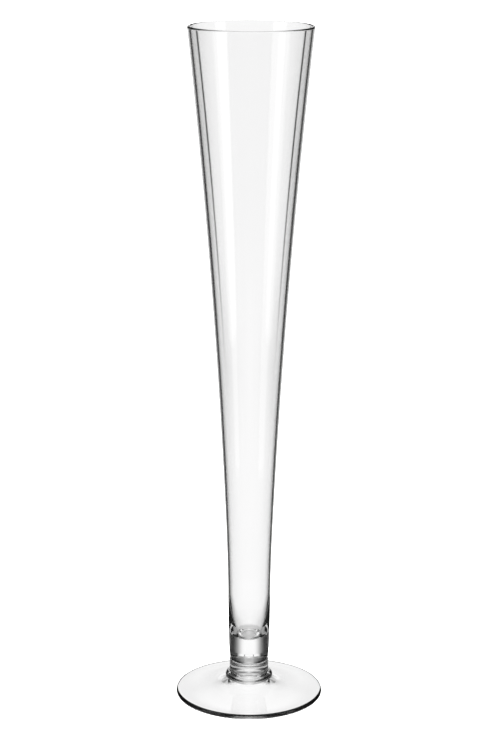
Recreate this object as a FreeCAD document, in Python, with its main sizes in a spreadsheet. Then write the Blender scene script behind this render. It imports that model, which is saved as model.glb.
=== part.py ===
import FreeCAD, Part
import math
import os
import Sketcher

# A tall trumpet vase of clear glass, welded hot from three gathers: the blown bowl with its solid plug,
# the collar with its rolled bead, and the foot. Every piece is turned about Z, and the vase stands on Z = 0.

# Driving dimensions in millimetres. Heights in the bowl are above its weld to the collar.
SIZES = {
    # foot
    "foot_radius": 65.9,
    "foot_edge": 4.2,
    "foot_height": 15.6,
    "foot_slope_radius": 33.0,
    "foot_slope_height": 6.6,
    "foot_wall": 4.2,
    "rest_width": 2.6,
    "hollow_height": 10.5,
    "punty_radius": 14.0,
    # collar
    "collar_height": 16.6,
    "collar_radius": 17.5,
    "collar_shoulder": 0.9,
    "bead_radius": 21.2,
    "bead_height": 0.6,
    "bead_roll": 5.0,
    "bead_fillet": 1.0,
    "seat_radius": 19.2,
    # bowl, outside
    "bowl_height": 567.8,
    "weld_radius": 16.6,
    "heel_height": 2.4,
    "heel_share": 0.38,
    "plug_radius": 18.55,
    "plug_height": 24.0,
    "shank_radius": 19.2,
    "shank_height": 66.0,
    "flare_slope_share": 0.44,
    "flare_height": 132.0,
    "rim_radius": 54.2,
    # bowl, inside
    "rim_wall": 3.0,
    "flare_wall": 2.1,
    "shank_wall": 1.9,
    "floor_height": 21.2,
    "floor_corner": 6.0,
    "shoulder_corner": 140.0,
    "shoulder_drop": 2.0,
}

# Sizes that the sheet works out from those above. The heel share says where the plug's rounded heel ends between
# the weld's radius and the plug's. The flare share is the mean slope of the wall from the shank to the flare, as a
# share of its mean slope from the shank to the lip.
WORKED_OUT = {
    "rest_outer": "=foot_radius - foot_edge / 2",
    "rest_inner": "=rest_outer - rest_width",
    "hollow_slope_height": "=foot_slope_height - foot_wall",
    "heel_radius": "=weld_radius + heel_share * (plug_radius - weld_radius)",
    "shoulder_height": "=shank_height - shoulder_drop",
    "lip_height": "=bowl_height - rim_wall / 2",
    "flare_radius": "=shank_radius + flare_slope_share * (rim_radius - shank_radius)"
    " * (flare_height - shank_height) / (lip_height - shank_height)",
}

# headings of an outline, and a full turn of a revolution
STRAIGHT_OUT = 0.0
STRAIGHT_UP = math.pi / 2
FULL_TURN = 360


def make_sheet(doc):
    """The spreadsheet that holds the dimensions, one alias to each."""
    sheet = doc.addObject("Spreadsheet::Sheet", "sizes")
    for row, (name, value) in enumerate({**SIZES, **WORKED_OUT}.items(), start=1):
        sheet.set(f"A{row}", name)
        sheet.set(f"B{row}", str(value))
        sheet.setAlias(f"B{row}", name)
    doc.recompute()
    return sheet


class HalfOutline:
    """A closed chain of lines and arcs in a sketch: X is the radius, Y the height above the piece's base."""

    def __init__(self, body, name):
        plane = next(f for f in body.Origin.OriginFeatures if f.Role == "XZ_Plane")
        self.sketch = body.newObject("Sketcher::SketchObject", name)
        self.sketch.AttachmentSupport = [(plane, "")]
        self.sketch.MapMode = "FlatFace"
        self.ends = []
        self.here = FreeCAD.Vector()
        self.heading = STRAIGHT_OUT

    def start(self, height):
        self.here = FreeCAD.Vector(0, height, 0)

    def add(self, shape, end, heading):
        """Puts one piece of the chain in the sketch, and joins it to the piece before it."""
        index = self.sketch.addGeometry(shape, False)
        # an arc's first point is always the one that it leaves anticlockwise
        first = self.sketch.getPoint(index, 1)
        same_way = first.distanceToPoint(self.here) < first.distanceToPoint(end)
        self.ends.append((index, 1, 2) if same_way else (index, 2, 1))
        self.here = end
        self.heading = heading

    def line(self, radius, height):
        end = FreeCAD.Vector(radius, height, 0)
        run = end - self.here
        self.add(Part.LineSegment(self.here, end), end, math.atan2(run.y, run.x))

    def arc(self, radius, height, leaving=None, landing=None):
        """An arc that runs on from the piece before it, unless its first or its last heading is given."""
        end = FreeCAD.Vector(radius, height, 0)
        chord = end - self.here
        along = math.atan2(chord.y, chord.x)
        if landing is not None:
            leaving = 2 * along - landing
        turn = along - (self.heading if leaving is None else leaving)
        half_turn = math.atan2(math.sin(turn), math.cos(turn))
        side = FreeCAD.Vector(-chord.y, chord.x, 0)
        middle = (self.here + end - side * math.tan(half_turn / 2)) / 2
        self.add(Part.Arc(self.here, middle, end), end, along + half_turn)

    def join(self, smooth):
        """Closes the chain. The joins after the pieces numbered in smooth are tangent."""
        for number, (index, _, last) in enumerate(self.ends):
            other, first, _ = self.ends[(number + 1) % len(self.ends)]
            kind = "Tangent" if number in smooth else "Coincident"
            self.sketch.addConstraint(Sketcher.Constraint(kind, index, last, other, first))

    def level(self, *numbers):
        for number in numbers:
            self.sketch.addConstraint(Sketcher.Constraint("Horizontal", self.ends[number][0]))

    def upright(self, *numbers):
        for number in numbers:
            self.sketch.addConstraint(Sketcher.Constraint("Vertical", self.ends[number][0]))

    def bind(self, constraint, name, expression):
        """Adds a named dimension whose value is an expression of the sheet's cells."""
        number = self.sketch.addConstraint(constraint)
        self.sketch.renameConstraint(number, name)
        self.sketch.setExpression(f"Constraints.{name}", expression)

    def on_axis(self, *numbers):
        """Puts the last point of each numbered piece on the axis."""
        for number in numbers:
            index, _, last = self.ends[number]
            self.sketch.addConstraint(Sketcher.Constraint("PointOnObject", index, last, -2))

    def at_radius(self, number, name, expression):
        index, _, last = self.ends[number]
        x = self.sketch.getPoint(index, last).x
        self.bind(Sketcher.Constraint("DistanceX", -1, 1, index, last, x), name, expression)

    def at_height(self, number, name, expression):
        index, _, last = self.ends[number]
        y = self.sketch.getPoint(index, last).y
        self.bind(Sketcher.Constraint("DistanceY", -1, 1, index, last, y), name, expression)

    def centre_radius(self, number, name, expression):
        index = self.ends[number][0]
        x = self.sketch.getPoint(index, 3).x
        self.bind(Sketcher.Constraint("DistanceX", -1, 1, index, 3, x), name, expression)

    def centre_height(self, number, name, expression):
        index = self.ends[number][0]
        y = self.sketch.getPoint(index, 3).y
        self.bind(Sketcher.Constraint("DistanceY", -1, 1, index, 3, y), name, expression)

    def curve(self, number, name, expression):
        index = self.ends[number][0]
        radius = self.sketch.Geometry[index].Radius
        self.bind(Sketcher.Constraint("Radius", index, radius), name, expression)


def make_body(doc, name, seat):
    """A body whose base plane is at the height that the expression seat gives."""
    body = doc.addObject("PartDesign::Body", name)
    body.Label = name
    body.setExpression("Placement.Base.z", seat)
    return body


def turn(body, outline, name):
    """Turns the half outline once about the vase's axis."""
    revolution = body.newObject("PartDesign::Revolution", name)
    revolution.Profile = outline.sketch
    revolution.ReferenceAxis = (outline.sketch, ["V_Axis"])
    revolution.Angle = FULL_TURN
    outline.sketch.Visibility = False
    body.Tip = revolution


def make_foot(doc, size):
    """The dished disc: a hub that rises from it, a round edge, a narrow ring to rest on and a hollow underside."""
    body = make_body(doc, "foot", "0 mm")
    hollow_run = size("rest_inner") - size("foot_slope_radius")
    hollow_heading = 2 * math.atan2(-size("hollow_slope_height"), hollow_run)
    outline = HalfOutline(body, "foot_outline")
    outline.start(size("hollow_height"))
    outline.line(size("punty_radius"), size("hollow_height"))
    outline.arc(size("foot_slope_radius"), size("hollow_slope_height"), landing=hollow_heading)
    outline.arc(size("rest_inner"), 0)
    outline.line(size("rest_outer"), 0)
    outline.arc(size("rest_outer"), size("foot_edge"), leaving=STRAIGHT_OUT)
    outline.arc(size("foot_slope_radius"), size("foot_slope_height"))
    outline.arc(size("seat_radius"), size("foot_height"))
    outline.line(0, size("foot_height"))
    outline.line(0, size("hollow_height"))
    punty, dome, hollow, rest, edge, slope, hub, seat, axis = range(9)
    outline.join(smooth=range(dome, hub))
    outline.level(punty, rest, seat)
    outline.on_axis(seat, axis)
    outline.at_radius(punty, "punty_radius", "sizes.punty_radius")
    outline.at_height(punty, "hollow_height", "sizes.hollow_height")
    outline.at_radius(dome, "hollow_slope_radius", "sizes.foot_slope_radius")
    outline.at_height(dome, "hollow_slope_height", "sizes.hollow_slope_height")
    outline.at_radius(hollow, "rest_inner", "sizes.rest_inner")
    outline.sketch.addConstraint(Sketcher.Constraint("PointOnObject", outline.ends[rest][0], 1, -1))
    outline.curve(edge, "edge_round", "sizes.foot_edge / 2")
    outline.centre_radius(edge, "edge_centre", "sizes.rest_outer")
    outline.at_radius(edge, "edge_top", "sizes.rest_outer")
    outline.at_radius(slope, "slope_radius", "sizes.foot_slope_radius")
    outline.at_height(slope, "slope_height", "sizes.foot_slope_height")
    outline.at_radius(hub, "seat_radius", "sizes.seat_radius")
    outline.at_height(hub, "foot_height", "sizes.foot_height")
    turn(body, outline, "foot_turned")
    return body


def make_collar(doc, size):
    """The drum under the bowl, with the bead rolled out where it meets the foot."""
    body = make_body(doc, "collar", "sizes.foot_height")
    # where the bead's roll meets the drum, before the fillet between them
    roll_centre = size("bead_radius") - size("bead_roll")
    reach = size("bead_roll") + size("bead_fillet")
    sideways = size("collar_radius") + size("bead_fillet") - roll_centre
    upwards = math.sqrt(reach ** 2 - sideways ** 2)
    share = size("bead_roll") / reach
    roll_end = FreeCAD.Vector(roll_centre + sideways * share, size("bead_height") + upwards * share, 0)
    shoulder_height = size("collar_height") - size("collar_shoulder")
    outline = HalfOutline(body, "collar_outline")
    outline.start(0)
    outline.line(size("seat_radius"), 0)
    outline.arc(size("bead_radius"), size("bead_height"), landing=STRAIGHT_UP)
    outline.arc(roll_end.x, roll_end.y)
    outline.arc(size("collar_radius"), size("bead_height") + upwards)
    outline.line(size("collar_radius"), shoulder_height)
    outline.arc(size("weld_radius"), size("collar_height"))
    outline.line(0, size("collar_height"))
    outline.line(0, 0)
    base, under, roll, fillet, drum, shoulder, weld, axis = range(8)
    outline.join(smooth=(under, roll, fillet, drum))
    outline.level(base, weld)
    outline.upright(drum)
    outline.on_axis(weld, axis)
    outline.sketch.addConstraint(Sketcher.Constraint("PointOnObject", outline.ends[axis][0], 2, -1))
    outline.at_radius(base, "seat_radius", "sizes.seat_radius")
    outline.at_radius(under, "bead_radius", "sizes.bead_radius")
    outline.at_height(under, "bead_height", "sizes.bead_height")
    outline.centre_height(roll, "roll_height", "sizes.bead_height")
    outline.curve(roll, "bead_roll", "sizes.bead_roll")
    outline.curve(fillet, "bead_fillet", "sizes.bead_fillet")
    outline.at_radius(drum, "collar_radius", "sizes.collar_radius")
    outline.at_height(drum, "shoulder_height", "sizes.collar_height - sizes.collar_shoulder")
    outline.at_radius(shoulder, "weld_radius", "sizes.weld_radius")
    outline.at_height(shoulder, "collar_height", "sizes.collar_height")
    turn(body, outline, "collar_turned")
    return body


def make_bowl(doc, size):
    """The trumpet: a solid plug on a rounded heel, a wall that thins and then flares, and a tapering cavity."""
    body = make_body(doc, "bowl", "sizes.foot_height + sizes.collar_height")
    shank_rise = size("shank_height") - size("plug_height")
    shank_spread = size("shank_radius") - size("plug_radius")
    shank_heading = math.atan2(shank_rise, shank_spread)
    plug_chord = math.atan2(size("plug_height") - size("heel_height"), size("plug_radius") - size("heel_radius"))
    inner_flare_radius = size("flare_radius") - size("flare_wall")
    inner_shank = size("shank_radius") - size("shank_wall")
    flare_chord = math.atan2(size("shank_height") - size("flare_height"), inner_shank - inner_flare_radius)
    inner_flare_heading = 2 * flare_chord - (shank_heading - math.pi)
    inner_shoulder = inner_shank - size("shoulder_drop") * shank_spread / shank_rise
    # the shoulder's arc is nearly upright at its top, and the floor's corner rolls inside it
    shoulder_centre = inner_shoulder - size("shoulder_corner")
    corner_gap = size("shoulder_corner") - size("floor_corner")
    corner_drop = size("shoulder_height") - size("floor_height") - size("floor_corner")
    corner_centre = shoulder_centre + math.sqrt(corner_gap ** 2 - corner_drop ** 2)
    share = size("shoulder_corner") / corner_gap
    corner_end = FreeCAD.Vector(
        shoulder_centre + (corner_centre - shoulder_centre) * share,
        size("shoulder_height") - corner_drop * share,
        0,
    )
    outline = HalfOutline(body, "bowl_outline")
    outline.start(0)
    outline.line(size("weld_radius"), 0)
    outline.arc(size("heel_radius"), size("heel_height"), landing=2 * plug_chord - shank_heading)
    outline.arc(size("plug_radius"), size("plug_height"))
    outline.line(size("shank_radius"), size("shank_height"))
    outline.arc(size("flare_radius"), size("flare_height"))
    outline.arc(size("rim_radius"), size("lip_height"))
    outline.arc(size("rim_radius") - size("rim_wall"), size("lip_height"), leaving=STRAIGHT_UP)
    outline.arc(inner_flare_radius, size("flare_height"), landing=inner_flare_heading)
    outline.arc(inner_shank, size("shank_height"))
    outline.line(inner_shoulder, size("shoulder_height"))
    outline.arc(corner_end.x, corner_end.y)
    outline.arc(corner_centre, size("floor_height"))
    outline.line(0, size("floor_height"))
    outline.line(0, 0)
    weld, heel, plug, shank, flare, trumpet, lip, *inside = range(14)
    inner_trumpet, inner_flare, inner_wall, shoulder, corner, floor, axis = inside
    outline.join(smooth=range(heel, floor))
    outline.level(weld, floor)
    outline.on_axis(floor, axis)
    outline.sketch.addConstraint(Sketcher.Constraint("PointOnObject", outline.ends[axis][0], 2, -1))
    outline.sketch.addConstraint(
        Sketcher.Constraint("Parallel", outline.ends[shank][0], outline.ends[inner_wall][0])
    )
    outline.at_radius(weld, "weld_radius", "sizes.weld_radius")
    outline.at_radius(heel, "heel_radius", "sizes.heel_radius")
    outline.at_height(heel, "heel_height", "sizes.heel_height")
    outline.at_radius(plug, "plug_radius", "sizes.plug_radius")
    outline.at_height(plug, "plug_height", "sizes.plug_height")
    outline.at_radius(shank, "shank_radius", "sizes.shank_radius")
    outline.at_height(shank, "shank_height", "sizes.shank_height")
    outline.at_radius(flare, "flare_radius", "sizes.flare_radius")
    outline.at_height(flare, "flare_height", "sizes.flare_height")
    outline.curve(lip, "lip_round", "sizes.rim_wall / 2")
    outline.centre_radius(lip, "lip_radius", "sizes.rim_radius - sizes.rim_wall / 2")
    outline.centre_height(lip, "lip_height", "sizes.lip_height")
    outline.at_radius(inner_trumpet, "flare_bore", "sizes.flare_radius - sizes.flare_wall")
    outline.at_height(inner_trumpet, "flare_bore_height", "sizes.flare_height")
    outline.at_radius(inner_flare, "shank_bore", "sizes.shank_radius - sizes.shank_wall")
    outline.at_height(inner_flare, "shank_bore_height", "sizes.shank_height")
    outline.at_height(inner_wall, "shoulder_height", "sizes.shoulder_height")
    outline.curve(shoulder, "shoulder_corner", "sizes.shoulder_corner")
    outline.curve(corner, "floor_corner", "sizes.floor_corner")
    outline.at_height(floor, "floor_height", "sizes.floor_height")
    turn(body, outline, "bowl_turned")
    return body


def check(doc, bodies):
    """Stops before anything is written if a feature failed or a sketch isn't held by its dimensions."""
    for item in doc.Objects:
        if "Invalid" in item.State or "Error" in item.State:
            raise RuntimeError(f"{item.Label} failed: {item.State}")
        if item.isDerivedFrom("Sketcher::SketchObject") and not item.FullyConstrained:
            raise RuntimeError(f"{item.Label} isn't fully constrained")
    for body in bodies:
        if body.Shape.isNull() or not body.Shape.isValid() or len(body.Shape.Solids) != 1:
            raise RuntimeError(f"{body.Label} isn't one valid solid")


def main():
    doc = FreeCAD.newDocument("trumpet_vase")
    sheet = make_sheet(doc)
    size = sheet.get
    bodies = [make_foot(doc, size), make_collar(doc, size), make_bowl(doc, size)]
    doc.recompute()
    check(doc, bodies)
    os.makedirs("parts", exist_ok=True)
    for body in bodies:
        print(f"{body.Label}: {body.Shape.Volume:.0f} mm3")
        body.Shape.exportStep(f"parts/{body.Label}.step")


main()
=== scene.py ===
import math

import bpy
from mathutils import Matrix, Vector


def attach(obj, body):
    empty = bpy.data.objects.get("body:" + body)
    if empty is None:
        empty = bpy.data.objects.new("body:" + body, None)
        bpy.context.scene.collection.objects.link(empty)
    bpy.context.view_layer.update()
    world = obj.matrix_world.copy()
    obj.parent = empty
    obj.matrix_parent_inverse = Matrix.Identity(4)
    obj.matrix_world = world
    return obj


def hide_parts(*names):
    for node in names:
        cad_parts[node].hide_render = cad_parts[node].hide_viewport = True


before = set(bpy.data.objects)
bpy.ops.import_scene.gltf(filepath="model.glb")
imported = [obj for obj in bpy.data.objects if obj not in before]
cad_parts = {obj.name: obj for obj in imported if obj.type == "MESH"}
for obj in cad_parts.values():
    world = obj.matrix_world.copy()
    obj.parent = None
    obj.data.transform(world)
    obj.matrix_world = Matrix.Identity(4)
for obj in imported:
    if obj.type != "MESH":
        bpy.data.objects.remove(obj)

MM = 0.001

# The vase's sizes in millimetres, as the CAD source has them. Heights in the collar and the bowl are above
# the weld that they stand on.
SIZE = {
    "foot_radius": 65.9,
    "foot_edge": 4.2,
    "foot_height": 15.6,
    "foot_slope_radius": 33.0,
    "foot_slope_height": 6.6,
    "foot_wall": 4.2,
    "rest_width": 2.6,
    "hollow_height": 10.5,
    "punty_radius": 14.0,
    "collar_height": 16.6,
    "collar_radius": 17.5,
    "collar_shoulder": 0.9,
    "bead_radius": 21.2,
    "bead_height": 0.6,
    "bead_roll": 5.0,
    "bead_fillet": 1.0,
    "seat_radius": 19.2,
    "bowl_height": 567.8,
    "weld_radius": 16.6,
    "heel_height": 2.4,
    "heel_share": 0.38,
    "plug_radius": 18.55,
    "plug_height": 24.0,
    "shank_radius": 19.2,
    "shank_height": 66.0,
    "flare_slope_share": 0.44,
    "flare_height": 132.0,
    "rim_radius": 54.2,
    "rim_wall": 3.0,
    "flare_wall": 2.1,
    "shank_wall": 1.9,
    "floor_height": 21.2,
    "floor_corner": 6.0,
    "shoulder_corner": 140.0,
    "shoulder_drop": 2.0,
}

# how far the plug's bottom and the hub's top stay off the collar's ends, so that no faces share a plane
HAIR = 0.03

# how finely the outlines are cut, and how many faces go round
LONGEST_STEP = 4.0
WIDEST_TURN = math.radians(5)
SIDES = 288

STRAIGHT_OUT = 0.0
STRAIGHT_UP = math.pi / 2

# a radius or a turn under these counts as none
ON_AXIS = 1e-6
NO_TURN = 1e-9

WHITE = (1, 1, 1, 1)

# clear glass, and the slow waviness of its surface, whose height is in metres
GLASS_IOR = 1.5
WAVES_PER_METRE = 14
WAVE_DETAIL = 1
WAVE_STRENGTH = 0.02
WAVE_HEIGHT = 0.001

# The camera, fitted to the photograph's ellipses of foot and mouth: its place in metres, its tilt under the
# horizon and its roll in degrees, its lens and sensor in millimetres, and how near and far it sees in metres.
CAMERA_PLACE = (0, -1.7978, 0.7672)
CAMERA_TILT = 14.664
CAMERA_ROLL = 0.2
CAMERA_LENS = 101.9
CAMERA_SENSOR = 36
CAMERA_NEAREST = 0.05
CAMERA_FARTHEST = 60

# how far the floor reaches in metres and how pale it is, and the light on it and past the vase
FLOOR_REACH = 12
FLOOR_GREY = 0.9
ROOM_STRENGTH = 4.0

# the two upright softboxes in front, each by the two places on the floor that it stands between, in metres
SOFTBOX_STRENGTH = 1.2
SOFTBOX_HEIGHT = 1.1
SOFTBOXES = {
    "softbox_left": ((-0.655, -0.688), (-0.91, -0.273)),
    "softbox_right": ((0.745, -0.59), (0.915, -0.256)),
}

# the dome's radius in metres, and how many faces it has in height and round
DOME_RADIUS = 40
DOME_RINGS = 24
DOME_SIDES = 48

# Parts that several rows of LIGHTS share: how the backdrop fades out at its sides, the room past the dark
# gap, and the narrow strip, faint or full, that draws the thin dark line inside each side of the bowl.
BACKDROP_SIDE = {15: 1, 18: 0.88, 21: 0.7, 24: 0.36, 27: 0.06}
ROOM_SIDE = {76: 0, 92: 0.25, 110: 0.5}
FAINT_STRIP = {7.7: 1, 8.4: 0.33, 9.3: 0.33, 10: 1}
FULL_STRIP = {7.7: 1, 8.4: 0.1, 9.3: 0.1, 10: 1}

# The light of the studio's dome: at each height over the horizon, its level at each bearing from straight
# behind the vase, both in degrees. The backdrop is behind, with a dark gap on either side of it. The table is
# below, and the room's own light comes from the front. The levels were listed after a fit of such a dome's
# light to the photograph's tones, and were rounded, thinned and changed.
LIGHTS = {
    -90: {0: 0.75, 20: 0.6, 38: 0.2, 70: 0.2, 110: 0.5, 150: 0.85},
    -52: {0: 0.55, 9: 0.5, 17: 0.65, 23: 0.6, 33: 0.35, 41: 0.2, 55: 0.25, 85: 0.45, 150: 0.6},
    -41: {0: 0.85, 9: 0.7, 17: 0.8, 23: 0.65, 33: 0.25, 55: 0.25, 85: 0.4, 150: 0.5},
    -34: {0: 1, 9: 0.9, 17: 0.75, 22: 0.45, 27: 0.15, 35: 0, 60: 0, 85: 0.25, 110: 0.5, 150: 0.7},
    -28: {0: 1, 8: 1, 12: 0.8, 17: 0.6, 22: 0.35, 27: 0.15, 35: 0, 60: 0, 85: 0.2, 110: 0.5, 150: 0.85},
    -24: {0: 1, 8: 1, 12: 0.8, 17: 0.5, 22: 0.3, 27: 0.12, 35: 0, 60: 0.05, 76: 0.15, 108: 0.55, 150: 0.95},
    -21: {0: 1, 9: 1, 12: 0.85, 17: 0.6, 22: 0.38, 27: 0.15, 35: 0.03, 48: 0.1, 68: 0.3, 108: 0.5, 150: 0.8},
    -19: {0: 1, 9: 1, 13: 0.93, 17: 0.75, 22: 0.48, 27: 0.22, 32: 0.1, 38: 0, 58: 0, 68: 0.33, 150: 0.6},
    -16.5: {0: 1, 9: 1, 13: 0.95, 17: 0.8, 22: 0.5, 27: 0.28, 32: 0.14, 39: 0.03, 56: 0, 68: 0.36, 150: 0.5},
    -14: {0: 1, 8.4: 0.85, **BACKDROP_SIDE, **ROOM_SIDE},
    -11: {0: 1, **FAINT_STRIP, **BACKDROP_SIDE, **ROOM_SIDE},
    -8.5: {0: 1, **FULL_STRIP, **BACKDROP_SIDE, **ROOM_SIDE},
    -5: {0: 1, **FULL_STRIP, **BACKDROP_SIDE, **ROOM_SIDE},
    -1: {0: 1, **BACKDROP_SIDE, 76: 0.1, 92: 0.2, 110: 0.3},
    6: {0: 0.95, 9: 0.9, 17: 0.6, 22: 0.3, 27: 0.05, 50: 0.05, 68: 0.2, 90: 0.17, 150: 0.2},
    10: {0: 0.6, 9: 0.5, 17: 0.1, 22: 0, 50: 0.05, 68: 0.18, 150: 0.25},
    14: {0: 0.53, 8: 0.5, 12: 0.22, 17: 0.06, 22: 0, 55: 0, 68: 0.16, 85: 0.22, 150: 0.33},
    20: {0: 0.85, 8: 0.5, 12: 0.24, 17: 0.13, 22: 0, 55: 0, 68: 0.1, 85: 0.1, 150: 0.35},
    24: {0: 0.3, 8: 0.5, 12: 0.37, 17: 0.31, 22: 0.22, 32: 0.1, 37: 0.03,
         55: 0.07, 68: 0.12, 108: 0, 150: 0.1},
    29: {0: 0.95, 9: 0.6, 12: 0.38, 17: 0.25, 32: 0.22, 45: 0, 60: 0, 68: 0.25, 108: 0.1},
    40: {0: 0.9, 9: 0.6, 17: 0.4, 32: 0.35, 48: 0.1, 60: 0.1, 68: 0.35, 108: 0.2, 140: 0},
    50: {0: 0.95, 20: 0.7, 40: 0.6, 75: 0.6, 108: 0.5, 140: 0.8},
}


class HalfOutline:
    """A chain of lines and arcs from the axis round to the axis.

    It is kept as stretches of (radius, height, heading), and each has a note that says whether it is a weld.
    """

    def __init__(self, base, height):
        self.base = base
        self.here = Vector((0, height))
        self.heading = STRAIGHT_OUT
        self.stretches = []

    def line(self, radius, height, welded=False):
        straight = math.atan2(height - self.here.y, radius - self.here.x)
        self.arc(radius, height, leaving=straight, welded=welded)

    def arc(self, radius, height, leaving=None, landing=None, welded=False):
        """An arc that runs on from the stretch before it, unless its first or its last heading is given."""
        end = Vector((radius, height))
        chord = end - self.here
        along = math.atan2(chord.y, chord.x)
        if landing is not None:
            leaving = 2 * along - landing
        turn = along - (self.heading if leaving is None else leaving)
        half_turn = math.atan2(math.sin(turn), math.cos(turn))
        first = along - half_turn
        steps = max(1, math.ceil(chord.length / LONGEST_STEP), math.ceil(abs(2 * half_turn) / WIDEST_TURN))
        stretch = []
        for step in range(steps + 1):
            part = step / steps
            if abs(half_turn) > NO_TURN:
                reach = chord.length * math.sin(half_turn * part) / math.sin(half_turn)
            else:
                reach = chord.length * part
            way = first + half_turn * part
            point = self.here + Vector((math.cos(way), math.sin(way))) * reach
            stretch.append((max(0.0, point.x), self.base + point.y, first + 2 * half_turn * part))
        self.stretches.append((stretch, welded))
        self.here = end
        self.heading = along + half_turn


def foot_outline(size):
    rest_outer = size["foot_radius"] - size["foot_edge"] / 2
    rest_inner = rest_outer - size["rest_width"]
    under_slope = size["foot_slope_height"] - size["foot_wall"]
    dish = 2 * math.atan2(-under_slope, rest_inner - size["foot_slope_radius"])
    hub_top = size["foot_height"] - HAIR

    outline = HalfOutline(0, size["hollow_height"])
    outline.line(size["punty_radius"], size["hollow_height"])
    outline.arc(size["foot_slope_radius"], under_slope, landing=dish)
    outline.arc(rest_inner, 0)
    outline.line(rest_outer, 0)
    outline.arc(rest_outer, size["foot_edge"], leaving=STRAIGHT_OUT)
    outline.arc(size["foot_slope_radius"], size["foot_slope_height"])
    outline.arc(size["seat_radius"], hub_top)
    outline.line(0, hub_top, welded=True)
    return outline


def collar_outline(size):
    roll_centre = size["bead_radius"] - size["bead_roll"]
    reach = size["bead_roll"] + size["bead_fillet"]
    sideways = size["collar_radius"] + size["bead_fillet"] - roll_centre
    upwards = math.sqrt(reach**2 - sideways**2)
    share = size["bead_roll"] / reach

    outline = HalfOutline(size["foot_height"], 0)
    outline.line(size["seat_radius"], 0, welded=True)
    outline.arc(size["bead_radius"], size["bead_height"], landing=STRAIGHT_UP)
    outline.arc(roll_centre + sideways * share, size["bead_height"] + upwards * share)
    outline.arc(size["collar_radius"], size["bead_height"] + upwards)
    outline.line(size["collar_radius"], size["collar_height"] - size["collar_shoulder"])
    outline.arc(size["weld_radius"], size["collar_height"])
    outline.line(0, size["collar_height"], welded=True)
    return outline


def bowl_outline(size):
    lip_height = size["bowl_height"] - size["rim_wall"] / 2
    mean_slope = (size["rim_radius"] - size["shank_radius"]) / (lip_height - size["shank_height"])
    flare_rise = size["flare_height"] - size["shank_height"]
    flare_radius = size["shank_radius"] + size["flare_slope_share"] * mean_slope * flare_rise
    shank_rise = size["shank_height"] - size["plug_height"]
    shank_spread = size["shank_radius"] - size["plug_radius"]
    shank_heading = math.atan2(shank_rise, shank_spread)
    heel_radius = size["weld_radius"] + size["heel_share"] * (size["plug_radius"] - size["weld_radius"])
    plug_chord = math.atan2(size["plug_height"] - size["heel_height"], size["plug_radius"] - heel_radius)

    inner_flare = flare_radius - size["flare_wall"]
    inner_shank = size["shank_radius"] - size["shank_wall"]
    flare_chord = math.atan2(-flare_rise, inner_shank - inner_flare)
    shoulder_height = size["shank_height"] - size["shoulder_drop"]
    inner_shoulder = inner_shank - size["shoulder_drop"] * shank_spread / shank_rise
    shoulder_centre = inner_shoulder - size["shoulder_corner"]
    corner_gap = size["shoulder_corner"] - size["floor_corner"]
    corner_drop = shoulder_height - size["floor_height"] - size["floor_corner"]
    corner_centre = shoulder_centre + math.sqrt(corner_gap**2 - corner_drop**2)
    share = size["shoulder_corner"] / corner_gap
    corner_start = shoulder_centre + (corner_centre - shoulder_centre) * share

    # the outside, from the plug's bottom up to the lip
    outline = HalfOutline(size["foot_height"] + size["collar_height"], HAIR)
    outline.line(size["weld_radius"], HAIR)
    outline.arc(heel_radius, size["heel_height"], landing=2 * plug_chord - shank_heading)
    outline.arc(size["plug_radius"], size["plug_height"])
    outline.line(size["shank_radius"], size["shank_height"])
    outline.arc(flare_radius, size["flare_height"])
    outline.arc(size["rim_radius"], lip_height)

    # over the lip, and down the inside to the cavity's floor
    outline.arc(size["rim_radius"] - size["rim_wall"], lip_height, leaving=STRAIGHT_UP)
    outline.arc(inner_flare, size["flare_height"], landing=2 * flare_chord - (shank_heading - math.pi))
    outline.arc(inner_shank, size["shank_height"])
    outline.line(inner_shoulder, shoulder_height)
    outline.arc(corner_start, shoulder_height - corner_drop * share)
    outline.arc(corner_centre, size["floor_height"])
    outline.line(0, size["floor_height"])
    return outline


def add_object(name, data):
    thing = bpy.data.objects.new(name, data)
    bpy.context.scene.collection.objects.link(thing)
    return thing


def add_mesh(name, points, faces):
    mesh = bpy.data.meshes.new(name)
    mesh.from_pydata(points, [], faces)
    return add_object(name, mesh)


def lathe(name, outline, glass, weld):
    """Turns the outline into a closed mesh with exact normals, of glass but for its weld faces."""
    points, faces, normals, slots = [], [], [], []

    def ring(radius, height):
        """The numbers of the points round the axis. On the axis they are all one point."""
        first = len(points)
        if radius < ON_AXIS:
            points.append((0, 0, height * MM))
            return [first] * SIDES
        for side in range(SIDES):
            angle = 2 * math.pi * side / SIDES
            points.append((radius * math.cos(angle) * MM, radius * math.sin(angle) * MM, height * MM))
        return list(range(first, first + SIDES))

    def normal(heading, side):
        angle = 2 * math.pi * side / SIDES
        return (math.sin(heading) * math.cos(angle), math.sin(heading) * math.sin(angle), -math.cos(heading))

    first_radius, first_height, _ = outline.stretches[0][0][0]
    low = ring(first_radius, first_height)
    for stretch, welded in outline.stretches:
        for (radius, _, heading), (next_radius, next_height, next_heading) in zip(stretch, stretch[1:]):
            high = ring(next_radius, next_height)
            for side in range(SIDES):
                after = (side + 1) % SIDES
                corners = [(low[side], heading, side), (low[after], heading, side + 1)]
                corners += [(high[after], next_heading, side + 1), (high[side], next_heading, side)]
                if radius < ON_AXIS:
                    del corners[0]
                elif next_radius < ON_AXIS:
                    del corners[3]
                faces.append([point for point, _, _ in corners])
                normals += [normal(facing, turned) for _, facing, turned in corners]
                slots.append(1 if welded else 0)
            low = high

    piece = add_mesh(name, points, faces)
    mesh = piece.data
    mesh.polygons.foreach_set("use_smooth", [True] * len(faces))
    mesh.polygons.foreach_set("material_index", slots)
    mesh.normals_split_custom_set(normals)
    mesh.update()
    mesh.materials.append(glass)
    if any(slots):
        mesh.materials.append(weld)
    return piece


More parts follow.
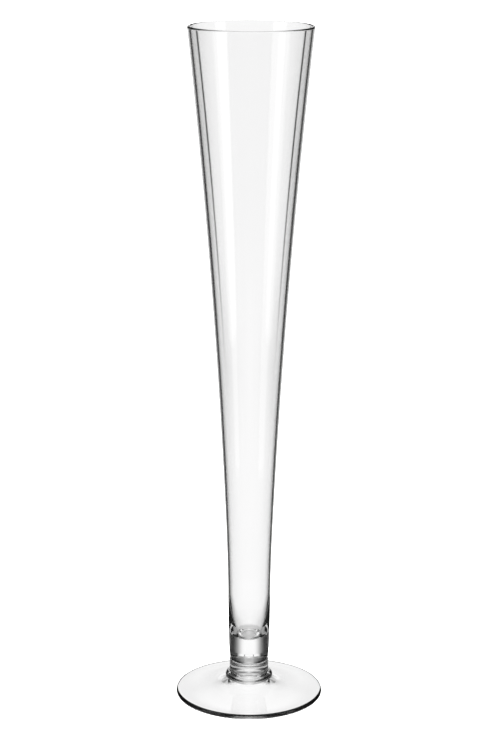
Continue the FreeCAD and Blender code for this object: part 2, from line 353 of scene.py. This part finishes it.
def add_node(nodes, kind, values=None):
    """A new node, with the values of its inputs by their names."""
    node = nodes.new(kind)
    for name, value in (values or {}).items():
        node.inputs[name].default_value = value
    return node


def add_math(nodes, links, operation, *inputs):
    """The outcome of one step of arithmetic on the outputs of other nodes."""
    node = nodes.new("ShaderNodeMath")
    node.operation = operation
    for socket, value in zip(node.inputs, inputs):
        links.new(value, socket)
    return node.outputs["Value"]


def new_material(name, kind, values=None):
    """A material of one shader, given back with the shader and the node tree for what is linked to it."""
    material = bpy.data.materials.new(name)
    material.use_nodes = True
    tree = material.node_tree
    tree.nodes.clear()
    output = add_node(tree.nodes, "ShaderNodeOutputMaterial")
    shader = add_node(tree.nodes, kind, values)
    tree.links.new(shader.outputs[0], output.inputs["Surface"])
    return material, shader, tree


def glass_material():
    """Clear blown glass: polished, with the slow waviness that a hand-turned surface keeps."""
    looks = {"Base Color": WHITE, "Roughness": 0, "IOR": GLASS_IOR, "Transmission Weight": 1}
    material, glass, tree = new_material("clear_glass", "ShaderNodeBsdfPrincipled", looks)
    place = add_node(tree.nodes, "ShaderNodeTexCoord")
    waves = add_node(tree.nodes, "ShaderNodeTexNoise", {"Scale": WAVES_PER_METRE, "Detail": WAVE_DETAIL})
    bump = add_node(tree.nodes, "ShaderNodeBump", {"Strength": WAVE_STRENGTH, "Distance": WAVE_HEIGHT})
    tree.links.new(place.outputs["Object"], waves.inputs["Vector"])
    tree.links.new(waves.outputs["Fac"], bump.inputs["Height"])
    tree.links.new(bump.outputs["Normal"], glass.inputs["Normal"])
    return material


def weld_material():
    """The face where two gathers are fused: the glass runs on through it, so light isn't bent there."""
    material, _, _ = new_material("fused_weld", "ShaderNodeBsdfTransparent")
    return material


def light_material(name, strength):
    """A lit surface, which is white where nothing is linked to its colour."""
    material, light, tree = new_material(name, "ShaderNodeEmission", {"Color": WHITE, "Strength": strength})
    material.cycles.emission_sampling = "NONE"
    return material, light, tree


def dome_material(lights):
    """The light of the studio all round, by its bearing from the middle of the backdrop and by its height."""
    material, light, tree = light_material("studio_light", strength=1)
    nodes, links = tree.nodes, tree.links
    place = add_node(nodes, "ShaderNodeTexCoord")
    aim = add_node(nodes, "ShaderNodeVectorMath")
    aim.operation = "NORMALIZE"
    parts = add_node(nodes, "ShaderNodeSeparateXYZ")
    links.new(place.outputs["Object"], aim.inputs[0])
    links.new(aim.outputs["Vector"], parts.inputs["Vector"])
    sideways = add_math(nodes, links, "ABSOLUTE", parts.outputs["X"])
    bearing = add_math(nodes, links, "ARCTAN2", sideways, parts.outputs["Y"])
    height = add_math(nodes, links, "ARCSINE", parts.outputs["Z"])

    def reach(angle, low, high):
        """How far an angle in radians is on the way from one to another in degrees, held to the ends."""
        ends = {"From Min": math.radians(low), "From Max": math.radians(high)}
        share = add_node(nodes, "ShaderNodeMapRange", ends)
        links.new(angle, share.inputs["Value"])
        return share.outputs["Result"]

    across = reach(bearing, 0, 180)

    def row(levels):
        """The light all round at one height, in straight lines from level to level."""
        ramp = add_node(nodes, "ShaderNodeValToRGB")
        elements = ramp.color_ramp.elements
        while len(elements) < len(levels):
            elements.new(1.0)
        for element, (degrees, level) in zip(elements, levels.items()):
            element.position = degrees / 180
            element.color = (level, level, level, 1)
        links.new(across, ramp.inputs["Fac"])
        return ramp.outputs["Color"]

    heights = list(lights)
    lit = row(lights[heights[0]])
    for low, high in zip(heights, heights[1:]):
        change = add_math(nodes, links, "SUBTRACT", row(lights[high]), lit)
        lit = add_math(nodes, links, "MULTIPLY_ADD", change, reach(height, low, high), lit)
    links.new(lit, light.inputs["Color"])
    return material


def studio_part(name, points, faces, material, rig):
    """A part of the studio that only the glass sees, and that turns with the rig."""
    part = add_mesh(name, points, faces)
    part.data.materials.append(material)
    part.parent = rig
    part.visible_camera = False
    part.visible_diffuse = False
    part.visible_shadow = False


def dome(name, material, rig):
    """A ball all round the vase, lit inside."""
    points, faces = [], []
    for ring in range(DOME_RINGS + 1):
        height = math.pi * (ring / DOME_RINGS - 0.5)
        flat = math.cos(height) * DOME_RADIUS
        for side in range(DOME_SIDES):
            turn = 2 * math.pi * side / DOME_SIDES
            points.append((flat * math.cos(turn), flat * math.sin(turn), math.sin(height) * DOME_RADIUS))
    for low in range(0, DOME_RINGS * DOME_SIDES, DOME_SIDES):
        high = low + DOME_SIDES
        for side in range(DOME_SIDES):
            after = (side + 1) % DOME_SIDES
            faces.append((low + side, low + after, high + after, high + side))
    studio_part(name, points, faces, material, rig)


def softbox(name, start, end, material, rig):
    """An upright lit card on the line from start to end."""
    corners = [(*start, 0), (*end, 0), (*end, SOFTBOX_HEIGHT), (*start, SOFTBOX_HEIGHT)]
    studio_part(name, corners, [(0, 1, 2, 3)], material, rig)


def make_camera():
    data = bpy.data.cameras.new("camera")
    data.sensor_width = CAMERA_SENSOR
    data.lens = CAMERA_LENS
    data.clip_start = CAMERA_NEAREST
    data.clip_end = CAMERA_FARTHEST
    camera = add_object("camera", data)
    camera.location = CAMERA_PLACE
    tilt = Matrix.Rotation(math.radians(90 - CAMERA_TILT), 3, "X")
    roll = Matrix.Rotation(math.radians(CAMERA_ROLL), 3, "Z")
    camera.rotation_euler = (tilt @ roll).to_euler()
    bpy.context.scene.camera = camera
    return camera


def make_world():
    """White where the camera looks past the vase, soft light for the floor, and nothing for the glass."""
    world = bpy.data.worlds.new("studio")
    world.use_nodes = True
    nodes, links = world.node_tree.nodes, world.node_tree.links
    nodes.clear()
    output = add_node(nodes, "ShaderNodeOutputWorld")
    path = add_node(nodes, "ShaderNodeLightPath")
    room = add_node(nodes, "ShaderNodeBackground", {"Color": WHITE, "Strength": ROOM_STRENGTH})
    dark = add_node(nodes, "ShaderNodeBackground", {"Strength": 0})
    mix = add_node(nodes, "ShaderNodeMixShader")
    from_glass = (path.outputs["Is Glossy Ray"], path.outputs["Is Transmission Ray"])
    links.new(add_math(nodes, links, "MAXIMUM", *from_glass), mix.inputs["Fac"])
    links.new(room.outputs["Background"], mix.inputs[1])
    links.new(dark.outputs["Background"], mix.inputs[2])
    links.new(mix.outputs["Shader"], output.inputs["Surface"])
    bpy.context.scene.world = world


def make_floor():
    """A plain pale floor, which the glass doesn't see."""
    paint = {"Color": (FLOOR_GREY, FLOOR_GREY, FLOOR_GREY, 1)}
    material, _, _ = new_material("pale_floor", "ShaderNodeBsdfDiffuse", paint)
    corners = [(-1, -1), (1, -1), (1, 1), (-1, 1)]
    floor = add_mesh("floor", [(x * FLOOR_REACH, y * FLOOR_REACH, 0) for x, y in corners], [(0, 1, 2, 3)])
    floor.data.materials.append(material)
    floor.visible_glossy = False
    floor.visible_transmission = False


def make_studio(camera):
    """A far-off dome and two softboxes, on a rig that turns with the camera as a turntable shot does."""
    rig = add_object("studio_rig", None)
    follow = rig.constraints.new("LOCKED_TRACK")
    follow.target = camera
    follow.track_axis = "TRACK_NEGATIVE_Y"
    follow.lock_axis = "LOCK_Z"
    dome("studio_dome", dome_material(LIGHTS), rig)
    lit, _, _ = light_material("softbox_light", SOFTBOX_STRENGTH)
    for name, (start, end) in SOFTBOXES.items():
        softbox(name, start, end, lit, rig)


def main():
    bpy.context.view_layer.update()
    glass, weld = glass_material(), weld_material()
    outlines = {"bowl": bowl_outline(SIZE), "collar": collar_outline(SIZE), "foot": foot_outline(SIZE)}
    for node, outline in outlines.items():
        piece = lathe(node + "_glass", outline, glass, weld)
        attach(piece, "root")
        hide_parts(node)
    camera = make_camera()
    make_world()
    make_floor()
    make_studio(camera)
    scene = bpy.context.scene
    scene.view_settings.view_transform = "Standard"
    scene.view_settings.look = "None"


main()
